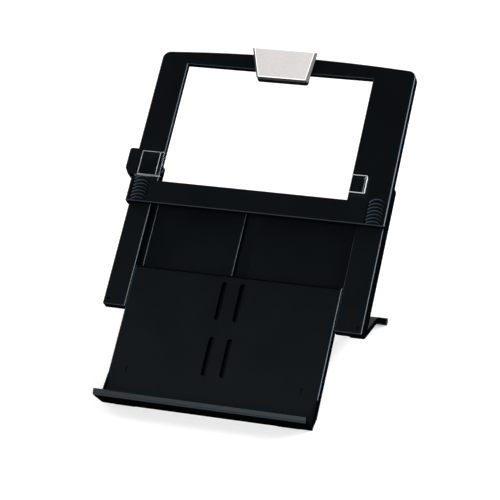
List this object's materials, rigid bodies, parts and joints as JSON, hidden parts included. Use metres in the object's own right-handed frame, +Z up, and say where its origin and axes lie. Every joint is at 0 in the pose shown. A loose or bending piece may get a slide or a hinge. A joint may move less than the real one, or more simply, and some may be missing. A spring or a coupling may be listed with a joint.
{
  "type": "copy holder",
  "caption": "Black desk copy holder that leans back on folding legs, with a sliding paper tray, a sliding window frame, a silver paper clip and a clear line guide.",
  "frame": {"origin": "middle of the footprint, on the desk", "axes": "+X to the reader's right, +Y away from the reader, +Z up; the board rises towards +Y at 37 degrees"},
  "size_m": [0.3069, 0.368, 0.2857],
  "materials": {
    "black_shell": "satin",
    "black_panel": "matt",
    "black_cover": "matt",
    "black_rubber": "matt",
    "clear_acrylic": "polished",
    "silver_clip": "satin",
    "steel_wire": "satin",
    "steel_screw": "satin",
    "felt_glide": "matt"
  },
  "bodies": {
    "base": {"base_shell": "black_shell", "base_back_cover": "black_cover", "base_screws": "steel_screw", "strip_plugs": "black_rubber", "leg_pin_left": "steel_wire", "leg_pin_right": "steel_wire"},
    "tray": {"tray_plate": "black_panel", "tray_ledge": "black_panel", "tray_foot_left": "black_rubber", "tray_foot_right": "black_rubber", "ledge_screws": "steel_screw", "tray_brake_left": "felt_glide", "tray_brake_right": "felt_glide"},
    "frame": {"frame_front": "black_shell", "frame_back": "black_shell", "frame_screws": "steel_screw", "frame_glide_left": "felt_glide", "frame_glide_right": "felt_glide", "clip_bracket": "black_shell", "clip_pin": "steel_wire", "clip_spring": "steel_wire", "clip_pad": "black_rubber"},
    "clip": {"clip_lever": "black_shell", "clip_cover": "silver_clip"},
    "guide": {"guide_slider": "black_shell", "guide_brake_pad": "felt_glide", "guide_bar": "clear_acrylic"},
    "left_leg": {"leg_left": "black_cover", "leg_foot_left": "black_rubber"},
    "right_leg": {"leg_right": "black_cover", "leg_foot_right": "black_rubber"}
  },
  "joints": [
    {"name": "tray_slide", "type": "slide", "parent": "base", "child": "tray", "axis": [0, 0.7986, 0.6018], "range_m": [0, 0.088]},
    {"name": "frame_slide", "type": "slide", "parent": "base", "child": "frame", "axis": [0, 0.7986, 0.6018], "range_m": [-0.118, 0]},
    {"name": "guide_slide", "type": "slide", "parent": "frame", "child": "guide", "axis": [0, 0.7986, 0.6018], "range_m": [-0.02, 0.1]},
    {"name": "clip_hinge", "type": "hinge", "parent": "frame", "child": "clip", "pos_m": [0.00311, 0.15749, 0.26673], "axis": [-1, 0, 0], "range_deg": [0, 20], "stiffness_Nm_per_rad": 0.3, "springref_deg": -20.05},
    {"name": "left_leg_hinge", "type": "hinge", "parent": "base", "child": "left_leg", "pos_m": [-0.12739, -0.04648, 0.05868], "axis": [1, 0, 0], "range_deg": [-15, 55]},
    {"name": "right_leg_hinge", "type": "hinge", "parent": "base", "child": "right_leg", "pos_m": [0.13361, -0.04648, 0.05868], "axis": [1, 0, 0], "range_deg": [-15, 55]}
  ]
}
